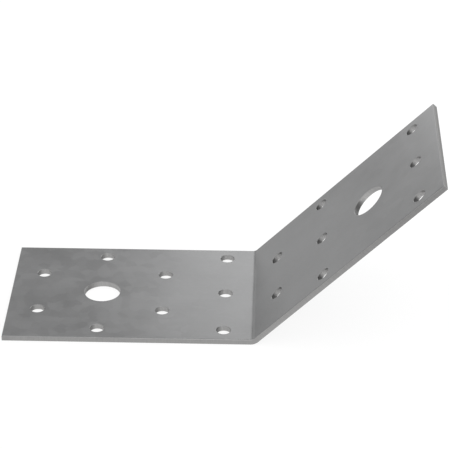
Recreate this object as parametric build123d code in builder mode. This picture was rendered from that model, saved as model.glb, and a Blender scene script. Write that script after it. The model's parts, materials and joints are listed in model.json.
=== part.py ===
from build123d import *
from math import cos, radians, sin, tan
import os

# Obtuse angle bracket for joining timber: one strip of zinc-coated sheet steel, punched flat at one
# pitch from end to end and then folded up once across its width.
# The flat leg lies on the XY plane and runs towards -X. The raised leg climbs from the fold
# towards +X. The origin is the centre of the flat leg's bolt hole, on the underside of the sheet.
# Lengths are in millimetres and angles in degrees.

# Strip and fold
sheet_thickness = 2.0
strip_width = 60.0
fold_angle = 45.0               # turn of the sheet, so the legs enclose 180 less this angle
inner_fold_radius = 2.0
unstretched_depth_ratio = 0.4   # depth in the sheet, from the inside, that keeps its length in the fold
sheared_edge_radius = 0.3       # rounding that the shear leaves along the upper edges

# Punched holes, in columns across the strip
nail_hole_diameter = 5.0
bolt_hole_diameter = 13.0
column_pitch = 22.5
fold_margin = 11.25             # outside corner of the fold to the flat leg's nearest column
end_margin = 10.75              # last column of either leg to its free end
side_margin = 6.0               # outermost nail holes to the long edges of the strip
rim_bevel = 0.15                # slope that the punch leaves round each hole on the upper side

# Nail holes column by column, away from the fold, as steps from the middle line of the strip
flat_leg_nail_rows = [(-2, 0, 2), (-1, 1), (-2, 2), (-1, 1)]
raised_leg_nail_rows = [(-1, 1), (-2, 0, 2), (), (-2, 0, 2)]
outermost_step = 2
bolt_hole_column = 2

# The fold takes up less sheet than its two outside faces measure, which moves the raised leg's
# columns away from the corner although the flat strip was punched at one pitch
fold = radians(fold_angle)
outer_fold_radius = inner_fold_radius + sheet_thickness
corner_to_fold_end = outer_fold_radius * tan(fold / 2)
sheet_in_fold = fold * (inner_fold_radius + unstretched_depth_ratio * sheet_thickness)
raised_fold_margin = column_pitch - fold_margin + 2 * corner_to_fold_end - sheet_in_fold

row_step = (strip_width / 2 - side_margin) / outermost_step


def column_distance(first_column, column):
    """Distance of a column of holes from the outside corner of the fold."""
    return first_column + column * column_pitch


def nail_hole_places(first_column, nail_rows):
    """Centres of a leg's nail holes in the leg's own plane."""
    return [
        (column_distance(first_column, column), step * row_step)
        for column, steps in enumerate(nail_rows)
        for step in steps
    ]


def punched_hole(diameter):
    """One hole right through the sheet at each location in the builder."""
    radius = diameter / 2
    CounterSinkHole(radius, radius + rim_bevel, depth=sheet_thickness, counter_sink_angle=90)


# Upper side of each leg as a plane, whose x axis runs from the fold to the leg's free end and whose
# origin lies over the outside corner of the fold, square to the leg
corner_x = column_distance(fold_margin, bolt_hole_column)
flat_leg_upper_side = Plane((corner_x, 0, 0), x_dir=(-1, 0, 0), z_dir=(0, 0, 1)).offset(sheet_thickness)
raised_leg_upper_side = Plane(
    (corner_x, 0, 0), x_dir=(cos(fold), 0, sin(fold)), z_dir=(-sin(fold), 0, cos(fold))
).offset(sheet_thickness)
legs = [
    (flat_leg_upper_side, fold_margin, flat_leg_nail_rows),
    (raised_leg_upper_side, raised_fold_margin, raised_leg_nail_rows),
]

flat_leg_length = column_distance(fold_margin, len(flat_leg_nail_rows) - 1) + end_margin
raised_leg_length = column_distance(raised_fold_margin, len(raised_leg_nail_rows) - 1) + end_margin
flat_leg_end = (corner_x - flat_leg_length, 0)
raised_leg_end = (corner_x + raised_leg_length * cos(fold), raised_leg_length * sin(fold))

with BuildPart() as bracket_plate:
    # Side view of the folded strip, with both radii of the fold about one centre
    with BuildSketch(Plane.XZ):
        with BuildLine():
            FilletPolyline(flat_leg_end, (corner_x, 0), raised_leg_end, radius=outer_fold_radius)
            offset(amount=sheet_thickness, side=Side.LEFT)
        make_face()
    extrude(amount=strip_width / 2, both=True)

    # Rounding along every edge of the upper side, apart from the two seams where the fold ends
    upper_faces = bracket_plate.faces().filter_by(
        lambda face: any(upper_side.contains(face.center()) for upper_side, _, _ in legs)
    )
    fold_inside = bracket_plate.faces().filter_by(GeomType.CYLINDER).sort_by(Axis.Z)[-1]
    seams = fold_inside.edges().filter_by(Axis.Y)
    fillet((upper_faces + [fold_inside]).edges() - seams, radius=sheared_edge_radius)

    # Holes punched square to each leg from its upper side, with their rims bevelled by the punch
    for upper_side, first_column, nail_rows in legs:
        with Locations(upper_side):
            with Locations(*nail_hole_places(first_column, nail_rows)):
                punched_hole(nail_hole_diameter)
            with Locations((column_distance(first_column, bolt_hole_column), 0)):
                punched_hole(bolt_hole_diameter)

bracket_plate.part.label = "bracket_plate"

os.makedirs("parts", exist_ok=True)
export_step(bracket_plate.part, "parts/bracket_plate.step")
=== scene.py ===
"""Looks of the obtuse angle bracket: zinc-coated finish of the folded plate, pale studio and camera.

Lengths are in metres. The flat leg lies on the floor along -X, and the raised leg climbs from the fold
towards +X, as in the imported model.
"""

import json
from collections import namedtuple
from math import atan2, cos, radians, sin, tan

import bpy
from bpy.props import FloatProperty, FloatVectorProperty, PointerProperty
from bpy.types import Operator, Panel, PropertyGroup
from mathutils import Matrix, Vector


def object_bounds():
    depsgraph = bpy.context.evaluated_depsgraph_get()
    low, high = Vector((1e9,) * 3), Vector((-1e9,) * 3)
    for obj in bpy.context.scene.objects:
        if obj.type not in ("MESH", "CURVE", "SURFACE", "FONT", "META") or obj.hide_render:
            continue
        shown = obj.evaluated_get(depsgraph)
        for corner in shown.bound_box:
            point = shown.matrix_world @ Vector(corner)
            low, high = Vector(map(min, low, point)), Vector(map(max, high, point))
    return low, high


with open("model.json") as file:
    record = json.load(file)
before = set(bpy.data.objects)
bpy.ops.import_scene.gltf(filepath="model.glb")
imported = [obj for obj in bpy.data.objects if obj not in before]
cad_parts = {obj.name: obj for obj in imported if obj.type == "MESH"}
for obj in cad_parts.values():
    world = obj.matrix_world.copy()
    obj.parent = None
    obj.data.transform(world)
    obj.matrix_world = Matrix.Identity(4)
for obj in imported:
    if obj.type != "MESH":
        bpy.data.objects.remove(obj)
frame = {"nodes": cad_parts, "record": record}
cad_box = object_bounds()

bl_info = {
    "name": "Obtuse angle bracket",
    "version": (1, 0, 0),
    "blender": (4, 5, 0),
    "location": "3D View > Sidebar > Bracket",
    "description": "Zinc-coated finish, pale studio and camera for a folded and punched angle bracket",
    "category": "Object",
}

PLATE = "bracket_plate"
MM = 0.001
WHITE = (1.0, 1.0, 1.0, 1.0)
CLIP_RATIO = 100            # clip planes stand at the camera's distance over this and times this

# Sockets of a Mix node that hold colours, by their order, because each kind of data has the same names
MIX_FIRST_COLOUR = 6
MIX_SECOND_COLOUR = 7
MIX_COLOUR = 2

# Bump of the whole plate, and what each texture of the coating adds to its roughness and its relief
BUMP_STRENGTH = 0.35
CLOUD_ROUGHNESS = 0.12
SPANGLE_ROUGHNESS = 0.08
GRAIN_ROUGHNESS = 0.1
SPANGLE_RELIEF = 0.3
ROLLING_RELIEF = 0.6
GRAIN_RELIEF = 0.5
SPANGLE_SOFTNESS = 0.25     # how far neighbouring zinc crystals run into each other

# Cut faces. A facing is the part of the surface's unit normal that points through or along the sheet.
CUT_FACING = 0.5            # up to this facing through the sheet, a face is cut
COATED_FACING = 0.9         # from this facing through the sheet, a face is coated
BORDER_ZONE = 0.0003        # a cut face this near to a border of the strip belongs to that border
TORN_HEIGHT = 0.45          # share of the thickness, from the underside, that tore
BURNISHED_HEIGHT = 0.65     # share of the thickness, from the underside, above which the tool burnished
TORN_TONE = 1.01
BURNISHED_TONE = 0.96
TORN_ROUGHNESS = 0.5
BURNISHED_ROUGHNESS = 0.36
STREAK_SQUEEZE = 0.15       # width of a streak over its length through the sheet
STREAK_RELIEF = 2.0
PAINTED_SHADE_STARTS = 0.2          # facing along the strip where the painted shade on a hole's wall starts
PAINTED_SHADE_FULL = 0.9            # facing along the strip where the painted shade on a hole's wall is darkest

PlateForm = namedtuple("PlateForm", "thickness fold_turn corner_x half_width flat_length raised_length")
OnSheet = namedtuple("OnSheet", "place along across through on_raised_leg along_facing through_facing")
Finish = namedtuple("Finish", "colour roughness relief")


def plate_form():
    """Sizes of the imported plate, from the faces that its mounts name and from its box."""
    mounts = {mount["name"]: mount for mount in frame["record"]["mounts"]}
    underside = Vector(mounts["flat_leg_underside"]["pos_m"])
    upper_side = Vector(mounts["flat_leg_upper_side"]["pos_m"])
    raised_underside = Vector(mounts["raised_leg_underside"]["pos_m"])
    raised_normal = Vector(mounts["raised_leg_upper_side"]["axis"])
    fold_turn = atan2(-raised_normal.x, raised_normal.z)
    corner_x = raised_underside.x - (raised_underside.z - underside.z) / tan(fold_turn)
    return PlateForm(
        thickness=upper_side.z - underside.z,
        fold_turn=fold_turn,
        corner_x=corner_x,
        half_width=cad_box[1].y,
        flat_length=corner_x - cad_box[0].x,
        raised_length=(cad_box[1].x - corner_x) / cos(fold_turn),
    )


class Wire:
    """Output of a shader node that takes part in arithmetic. Each operator adds a Math node."""

    def __init__(self, tree, socket):
        self.tree = tree
        self.socket = socket

    def __add__(self, other):
        return self.tree.math("ADD", self, other)

    def __sub__(self, other):
        return self.tree.math("SUBTRACT", self, other)

    def __rsub__(self, other):
        return self.tree.math("SUBTRACT", other, self)

    def __mul__(self, other):
        return self.tree.math("MULTIPLY", self, other)

    __radd__ = __add__
    __rmul__ = __mul__

    def __neg__(self):
        return self.tree.math("MULTIPLY", self, -1.0)

    def __abs__(self):
        return self.tree.math("ABSOLUTE", self)

    def above(self, other):
        """1 where this value is above the other, and 0 elsewhere."""
        return self.tree.math("GREATER_THAN", self, other)

    def at_least(self, other):
        return self.tree.math("MAXIMUM", self, other)

    def at_most(self, other):
        return self.tree.math("MINIMUM", self, other)

    def between(self, low, high):
        """Smooth step: 0 where this value is low, 1 where it is high."""
        inputs = {"Value": self, "From Min": low, "From Max": high}
        return self.tree.node("ShaderNodeMapRange", inputs, interpolation_type="SMOOTHSTEP").out()


class MadeNode:
    """A node that has just been added, with its outputs as wires."""

    def __init__(self, tree, node):
        self.tree = tree
        self.raw = node

    def out(self, name=0):
        return Wire(self.tree, self.raw.outputs[name])


class ShaderTree:
    """Node tree of a material or of the world, emptied and ready for new nodes."""

    def __init__(self, owner):
        owner.use_nodes = True
        self.raw = owner.node_tree
        self.raw.nodes.clear()

    def node(self, kind, inputs=None, **settings):
        """Adds a node. Its settings come first, then the values or links of its sockets."""
        raw = self.raw.nodes.new(kind)
        for name, value in settings.items():
            setattr(raw, name, value)
        for name, value in (inputs or {}).items():
            if isinstance(value, Wire):
                self.raw.links.new(value.socket, raw.inputs[name])
            else:
                raw.inputs[name].default_value = value
        return MadeNode(self, raw)

    def math(self, operation, *operands):
        """Result of one Math node on wires and numbers."""
        return self.node("ShaderNodeMath", dict(enumerate(operands)), operation=operation).out()

    def point(self, x, y, z):
        return self.node("ShaderNodeCombineXYZ", {"X": x, "Y": y, "Z": z}).out()

    def parts(self, vector):
        """The x, y and z of a vector."""
        split = self.node("ShaderNodeSeparateXYZ", {"Vector": vector})
        return split.out("X"), split.out("Y"), split.out("Z")

    def noise(self, point, feature_size, detail=2.0, roughness=0.5):
        """Cloudy noise from -0.5 to 0.5, with features of the given size."""
        inputs = {"Vector": point, "Scale": 1 / feature_size, "Detail": detail, "Roughness": roughness}
        return self.node("ShaderNodeTexNoise", inputs).out() - 0.5

    def scaled_colour(self, colour, factor):
        """Colour times a varying number."""
        inputs = {"Vector": colour, "Scale": factor}
        return self.node("ShaderNodeVectorMath", inputs, operation="SCALE").out()

    def mixed_colour(self, factor, first, second):
        """Colour that runs from first to second with the factor."""
        inputs = {0: factor, MIX_FIRST_COLOUR: first, MIX_SECOND_COLOUR: second}
        return self.node("ShaderNodeMix", inputs, data_type="RGBA").out(MIX_COLOUR)

    def mixed_shader(self, factor, first, second):
        """Shader that runs from first to second with the factor."""
        return self.node("ShaderNodeMixShader", {0: factor, 1: first, 2: second}).out()


def mixed_number(factor, first, second):
    """Number that runs from first to second with the factor. Any of them may be a wire."""
    return first + factor * (second - first)


def laid_flat(x, z, fold_turn):
    """x and z of a place or a direction on the raised leg, turned down level with the flat leg."""
    return x * cos(fold_turn) + z * sin(fold_turn), z * cos(fold_turn) - x * sin(fold_turn)


def sheet_coordinates(tree, form):
    """Where a point lies on the strip and how its surface faces, as if the strip still lay flat.

    It lies along the strip from the fold's corner, across it from the middle line, and through the sheet
    from its underside. The facing is the part of the unit normal along the strip and through the sheet.
    The point's place on the folded plate is kept too, for textures that have no direction.
    """
    place = tree.node("ShaderNodeTexCoord").out("Object")
    x, across, height = tree.parts(place)
    from_corner = x - form.corner_x
    raised_along, raised_height = laid_flat(from_corner, height, form.fold_turn)
    on_raised_leg = height.above(raised_height)

    normal_x, _, normal_z = tree.parts(tree.node("ShaderNodeNewGeometry").out("Normal"))
    raised_along_facing, raised_through_facing = laid_flat(normal_x, normal_z, form.fold_turn)
    return OnSheet(
        place=place,
        along=mixed_number(on_raised_leg, from_corner, raised_along),
        across=across,
        through=height.at_most(raised_height),
        on_raised_leg=on_raised_leg,
        along_facing=mixed_number(on_raised_leg, normal_x, raised_along_facing),
        through_facing=mixed_number(on_raised_leg, normal_z, raised_through_facing),
    )


def zinc_spangle(tree, settings, sheet):
    """Tone from -0.5 to 0.5, one for each crystal of the zinc, with borders that wander."""
    size = settings.spangle_size
    wander = tree.noise(sheet.place, size) * size
    inputs = {
        "Vector": tree.point(sheet.along + wander, sheet.across - wander, 0.0),
        "Scale": 1 / size,
        "Smoothness": SPANGLE_SOFTNESS,
    }
    crystals = tree.node("ShaderNodeTexVoronoi", inputs, voronoi_dimensions="2D", feature="SMOOTH_F1")
    return tree.node("ShaderNodeSeparateColor", {"Color": crystals.out("Color")}).out("Red") - 0.5


def coated_face(tree, settings, sheet):
    """Finish of the zinc coating: soft patches, crystals, the mill's lines and fine grain."""
    clouds = tree.noise(sheet.place, settings.cloud_size, detail=3.0)
    spangle = zinc_spangle(tree, settings, sheet)
    rolled_point = tree.point(sheet.along * settings.rolling_stretch, sheet.across, 0.0)
    rolling = tree.noise(rolled_point, settings.rolling_line, detail=3.0, roughness=0.6)
    grain = tree.noise(sheet.place, settings.grain_size)

    tone = 1.0 + clouds * settings.cloud_contrast + spangle * settings.spangle_contrast
    tone = tone + rolling * settings.rolling_contrast
    roughness = settings.zinc_roughness + clouds * CLOUD_ROUGHNESS
    roughness = roughness + spangle * SPANGLE_ROUGHNESS + grain * GRAIN_ROUGHNESS
    relief = spangle * SPANGLE_RELIEF + rolling * ROLLING_RELIEF + grain * GRAIN_RELIEF
    return Finish(tree.scaled_colour(settings.zinc_colour, tone), roughness, relief)


def near_border(distance, border):
    """1 in the zone inside a border of the strip, fading to 0 over as much again."""
    return distance.between(border - 2 * BORDER_ZONE, border - BORDER_ZONE)


def cut_tone_with_painted_shade(settings, form, sheet):
    """Tone of the bare steel, with shade painted on: hole walls darken on one side, end faces are
    darker, and the raised leg's long edges darken up the leg. The long edges were slit, the ends sheared
    and the holes punched.
    """
    on_long_edge = near_border(abs(sheet.across), form.half_width)
    on_flat_end = near_border(-sheet.along, form.flat_length)
    on_raised_end = near_border(sheet.along, form.raised_length)

    # Painted shade: hole walls darker on the side away from the fold on the flat leg, and by the fold on
    # the raised leg
    shade = mixed_number(sheet.on_raised_leg, settings.flat_hole_painted_shade, settings.raised_hole_painted_shade)
    hole_tone_with_painted_shade = settings.hole_wall_tone - sheet.along_facing.between(PAINTED_SHADE_STARTS, PAINTED_SHADE_FULL) * shade
    # Painted shade that darkens the raised leg's long edges towards its end
    edge_tone_with_painted_shade = 1.0 - sheet.along.between(0.0, form.raised_length) * settings.raised_edge_painted_shade
    # The end faces take a darker tone, which is painted shade
    tone = mixed_number(on_flat_end.at_least(on_raised_end), hole_tone_with_painted_shade, settings.end_face_painted_shade_tone)
    return mixed_number(on_long_edge, tone, edge_tone_with_painted_shade)


def cut_face(tree, settings, form, sheet):
    """Finish where shear and punch went through the sheet: burnished above, torn below, with painted
    shade on the hole walls, the end faces and the raised leg's long edges.
    """
    place = tree.point(sheet.along, sheet.across, sheet.through)
    band_height = sheet.through + tree.noise(place, settings.tear_width) * settings.tear_depth
    burnished = band_height.between(form.thickness * TORN_HEIGHT, form.thickness * BURNISHED_HEIGHT)
    streak_place = tree.point(sheet.along, sheet.across, sheet.through * STREAK_SQUEEZE)
    streaks = tree.noise(streak_place, settings.tear_width, detail=3.0)

    wear = mixed_number(burnished, TORN_TONE, BURNISHED_TONE) + streaks * settings.streak_contrast
    # Cut steel colour with painted shade on hole walls, end faces and raised edges, times the torn and
    # burnished bands
    colour = tree.scaled_colour(settings.cut_colour, cut_tone_with_painted_shade(settings, form, sheet) * wear)
    roughness = mixed_number(burnished, TORN_ROUGHNESS, BURNISHED_ROUGHNESS)
    return Finish(colour, roughness, streaks * STREAK_RELIEF)


def zinc_material(settings, form):
    """Zinc-coated rolled sheet whose sheared and punched faces are bare steel."""
    material = bpy.data.materials.new("zinc_coated_steel")
    tree = ShaderTree(material)
    sheet = sheet_coordinates(tree, form)
    coat = coated_face(tree, settings, sheet)
    cut = cut_face(tree, settings, form, sheet)

    # Cut faces stand square to the sheet
    on_cut = 1.0 - abs(sheet.through_facing).between(CUT_FACING, COATED_FACING)
    relief = mixed_number(on_cut, coat.relief, cut.relief)
    bump_inputs = {"Strength": BUMP_STRENGTH, "Distance": settings.relief_depth, "Height": relief}
    metal_inputs = {
        "Base Color": tree.mixed_colour(on_cut, coat.colour, cut.colour),
        "Metallic": 1.0,
        "Roughness": mixed_number(on_cut, coat.roughness, cut.roughness),
        "Normal": tree.node("ShaderNodeBump", bump_inputs).out(),
    }
    metal = tree.node("ShaderNodeBsdfPrincipled", metal_inputs)
    tree.node("ShaderNodeOutputMaterial", {"Surface": metal.out()})
    return material


def seen_as_background(tree):
    """1 for rays from the camera, and for those that a shiny surface or glass sends on."""
    path = tree.node("ShaderNodeLightPath")
    from_camera_or_shine = path.out("Is Camera Ray").at_least(path.out("Is Glossy Ray"))
    return from_camera_or_shine.at_least(path.out("Is Transmission Ray"))


def floor_material(settings):
    """Matt floor that keeps part of the shadow and otherwise matches the white background."""
    material = bpy.data.materials.new("studio_floor")
    tree = ShaderTree(material)
    colour = (*settings.floor_colour, 1.0)
    matt = tree.node("ShaderNodeBsdfDiffuse", {"Color": colour})
    glowing = tree.node("ShaderNodeEmission", {"Color": colour, "Strength": 1.0})
    glow = seen_as_background(tree) * (1.0 - settings.shadow_share)
    surface = tree.mixed_shader(glow, matt.out(), glowing.out())
    tree.node("ShaderNodeOutputMaterial", {"Surface": surface})
    return material


def light_world(settings):
    """White background around the studio, and an even level of light from it."""
    world = bpy.data.worlds.new("studio_world")
    bpy.context.scene.world = world
    tree = ShaderTree(world)
    even = tree.node("ShaderNodeBackground", {"Color": WHITE, "Strength": settings.world_level})
    white = tree.node("ShaderNodeBackground", {"Color": WHITE, "Strength": 1.0})
    surface = tree.mixed_shader(seen_as_background(tree), even.out(), white.out())
    tree.node("ShaderNodeOutputWorld", {"Surface": surface})


def lay_floor(settings):
    """Square floor just under the plate."""
    half = settings.floor_size / 2
    corners = [(-half, -half, 0), (half, -half, 0), (half, half, 0), (-half, half, 0)]
    mesh = bpy.data.meshes.new("floor")
    mesh.from_pydata(corners, [], [(0, 1, 2, 3)])
    mesh.materials.append(floor_material(settings))
    floor = bpy.data.objects.new("floor", mesh)
    floor.location.z = cad_box[0].z - settings.floor_gap
    bpy.context.scene.collection.objects.link(floor)


def hang_lamp(settings, kind, name, place):
    """Square soft lamp of one of the kinds in the settings, turned towards the plate."""
    light = bpy.data.lights.new(name, "AREA")
    light.shape = "SQUARE"
    light.size = getattr(settings, f"{kind}_size")
    light.energy = getattr(settings, f"{kind}_power")
    lamp = bpy.data.objects.new(name, light)
    lamp.visible_camera = False
    lamp.location = place
    lamp.rotation_mode = "QUATERNION"
    lamp.rotation_quaternion = (Vector(settings.lamp_target) - Vector(place)).to_track_quat("-Z", "Y")
    bpy.context.scene.collection.objects.link(lamp)


def hang_lamps(settings):
    """Lamps by the fold, low beyond the flat leg, higher beyond the raised leg, and overhead.

    The first three hang behind the plate and, mirrored, in front of it too.
    """
    for where, side in (("behind", 1), ("in_front", -1)):
        for kind in ("fold_lamp", "low_lamp", "end_lamp"):
            x, y, z = getattr(settings, f"{kind}_place")
            hang_lamp(settings, kind, f"{kind}_{where}", (x, side * y, z))
    hang_lamp(settings, "top_lamp", "top_lamp", settings.top_lamp_place)


def place_camera(settings):
    """Upright camera that faces its target. At azimuth 0 it looks along +Y, and elevation lifts it."""
    azimuth, elevation = settings.camera_azimuth, settings.camera_elevation
    back = Vector((sin(azimuth) * cos(elevation), -cos(azimuth) * cos(elevation), sin(elevation)))
    data = bpy.data.cameras.new("camera")
    data.sensor_width = settings.sensor_width / MM
    data.lens = settings.focal_length / MM
    data.clip_start = settings.camera_distance / CLIP_RATIO
    data.clip_end = settings.camera_distance * CLIP_RATIO
    camera = bpy.data.objects.new("camera", data)
    camera.location = Vector(settings.camera_target) + back * settings.camera_distance
    camera.rotation_mode = "QUATERNION"
    camera.rotation_quaternion = back.to_track_quat("Z", "Y")
    bpy.context.scene.collection.objects.link(camera)
    bpy.context.scene.camera = camera


def length_setting(name, description, metres):
    return FloatProperty(
        name=name, description=description, default=metres, subtype="DISTANCE", unit="LENGTH"
    )


def share_setting(name, description, share):
    return FloatProperty(name=name, description=description, default=share, subtype="FACTOR")


def angle_setting(name, description, degrees):
    return FloatProperty(
        name=name, description=description, default=radians(degrees), subtype="ANGLE", unit="ROTATION"
    )


def power_setting(name, description, watts):
    return FloatProperty(
        name=name, description=description, default=watts, subtype="POWER", unit="POWER"
    )


def colour_setting(name, description, colour):
    return FloatVectorProperty(
        name=name, description=description, default=colour, subtype="COLOR", size=3
    )


def place_setting(name, description, place):
    return FloatVectorProperty(
        name=name, description=description, default=place, subtype="TRANSLATION", unit="LENGTH", size=3
    )


class BracketFinishSettings(PropertyGroup):
    """Zinc coating and bare cut steel of the plate"""

    zinc_colour: colour_setting("Zinc colour", "Colour of the coated sheet", (0.185, 0.186, 0.187))
    zinc_roughness: share_setting("Zinc roughness", "Roughness of the coated faces", 0.38)
    cloud_size: length_setting("Cloud size", "Size of the soft patches in the coating", 0.018)
    cloud_contrast: share_setting("Cloud contrast", "Contrast of the soft patches", 0.45)
    spangle_size: length_setting("Spangle size", "Width of a zinc crystal", 0.0035)
    spangle_contrast: share_setting("Spangle contrast", "Contrast from crystal to crystal", 0.15)
    rolling_line: length_setting("Rolling lines", "Spacing of the mill's lines", 0.0006)
    rolling_stretch: share_setting("Rolling stretch", "Width of a mill line over its length", 0.015)
    rolling_contrast: share_setting("Rolling contrast", "Contrast of the mill's lines", 0.07)
    grain_size: length_setting("Grain size", "Size of the finest grain", 0.0003)
    relief_depth: length_setting("Relief depth", "Depth of the surface relief", 0.00003)
    cut_colour: colour_setting("Cut colour", "Colour of the flat leg's long edges", (0.32, 0.318, 0.316))
    # Painted shade: the raised leg's long edges darken towards its end
    raised_edge_painted_shade: share_setting("Raised edge fade", "Tone lost up the raised leg's long edges", 0.28)
    # Painted shade: the end faces are darker than the long edges
    end_face_painted_shade_tone: share_setting("End face tone", "Tone of the two end faces, against cut colour", 0.48)
    hole_wall_tone: share_setting("Hole wall tone", "Tone inside the holes, against cut colour", 1.2)
    # Painted shade on the hole walls, on the side that faces along the strip
    flat_hole_painted_shade: share_setting("Flat hole shade", "Tone lost on the side away from the fold", 0.55)
    raised_hole_painted_shade: share_setting("Raised hole shade", "Tone lost on the side by the fold", 0.87)
    tear_width: length_setting("Tear width", "Width of a streak on a cut face", 0.0005)
    tear_depth: length_setting("Tear depth", "Unevenness of the burnished band's border", 0.0004)
    streak_contrast: share_setting("Streak contrast", "Contrast of the streaks on a cut face", 0.3)


class BracketStageSettings(PropertyGroup):
    """Floor, lamps and camera around the plate"""

    floor_colour: colour_setting("Floor colour", "Colour of the floor", WHITE[:3])
    floor_size: length_setting("Floor size", "Side of the square floor", 6.0)
    floor_gap: length_setting("Floor gap", "Space that keeps floor and plate apart", 0.0001)
    shadow_share: share_setting("Shadow", "Share of the shadow that the floor shows", 0.15)
    world_level: share_setting("World level", "Even light from all round", 1.0)
    lamp_target: place_setting("Lamp target", "Point that all the lamps face", (0.04, 0.0, 0.02))
    fold_lamp_place: place_setting("Fold lamps", "Place of the rear lamp", (0.084, 0.214, 0.108))
    fold_lamp_size: length_setting("Fold lamp size", "Side of a fold lamp", 0.157)
    fold_lamp_power: power_setting("Fold lamp power", "Power of a fold lamp", 0.11)
    low_lamp_place: place_setting("Low lamps", "Place of the rear lamp", (-0.22, 0.356, 0.078))
    low_lamp_size: length_setting("Low lamp size", "Side of a low lamp", 0.14)
    low_lamp_power: power_setting("Low lamp power", "Power of a low lamp", 0.028)
    end_lamp_place: place_setting("End lamps", "Place of the rear lamp", (0.38, 0.33, 0.22))
    end_lamp_size: length_setting("End lamp size", "Side of an end lamp", 0.25)
    end_lamp_power: power_setting("End lamp power", "Power of an end lamp", 0.3)
    top_lamp_place: place_setting("Top lamp", "Place of the lamp overhead", (0.04, 0.0, 0.6))
    top_lamp_size: length_setting("Top lamp size", "Side of the top lamp", 0.5)
    top_lamp_power: power_setting("Top lamp power", "Power of the top lamp", 0.4)
    camera_azimuth: angle_setting("Azimuth", "Camera's way round the plate", 1.73)
    camera_elevation: angle_setting("Elevation", "Camera's height as an angle", 30.77)
    camera_distance: length_setting("Distance", "Camera to its target", 0.7105)
    camera_target: place_setting("Target", "Point that the camera looks at", (0.0443, 0.0098, 0.02535))
    focal_length: length_setting("Focal length", "Focal length of the lens", 0.15687)
    sensor_width: length_setting("Sensor width", "Width of the camera's sensor", 0.036)


class BRACKET_OT_finish_plate(Operator):
    """Give the folded plate its zinc-coated finish"""

    bl_idname = "bracket.finish_plate"
    bl_label = "Finish the plate"

    def execute(self, context):
        plate = frame["nodes"][PLATE]
        plate.data.materials.clear()
        plate.data.materials.append(zinc_material(context.scene.bracket_finish, plate_form()))
        return {"FINISHED"}


class BRACKET_OT_set_stage(Operator):
    """Lay the floor, light the studio and place the camera"""

    bl_idname = "bracket.set_stage"
    bl_label = "Set the stage"

    def execute(self, context):
        settings = context.scene.bracket_stage
        light_world(settings)
        lay_floor(settings)
        hang_lamps(settings)
        place_camera(settings)
        context.scene.view_settings.view_transform = "Standard"
        return {"FINISHED"}


class VIEW3D_PT_bracket(Panel):
    """Sizes, colours and steps of the bracket's looks"""

    bl_label = "Obtuse angle bracket"
    bl_space_type = "VIEW_3D"
    bl_region_type = "UI"
    bl_category = "Bracket"

    def draw(self, context):
        steps = (
            (context.scene.bracket_finish, BRACKET_OT_finish_plate),
            (context.scene.bracket_stage, BRACKET_OT_set_stage),
        )
        for settings, operator in steps:
            box = self.layout.box()
            for name in type(settings).__annotations__:
                box.prop(settings, name)
            box.operator(operator.bl_idname)


CLASSES = (
    BracketFinishSettings,
    BracketStageSettings,
    BRACKET_OT_finish_plate,
    BRACKET_OT_set_stage,
    VIEW3D_PT_bracket,
)


def register():
    for cls in CLASSES:
        bpy.utils.register_class(cls)
    bpy.types.Scene.bracket_finish = PointerProperty(type=BracketFinishSettings)
    bpy.types.Scene.bracket_stage = PointerProperty(type=BracketStageSettings)


def unregister():
    del bpy.types.Scene.bracket_stage
    del bpy.types.Scene.bracket_finish
    for cls in reversed(CLASSES):
        bpy.utils.unregister_class(cls)


def main():
    register()
    bpy.ops.bracket.finish_plate()
    bpy.ops.bracket.set_stage()


if __name__ == "__main__":
    main()
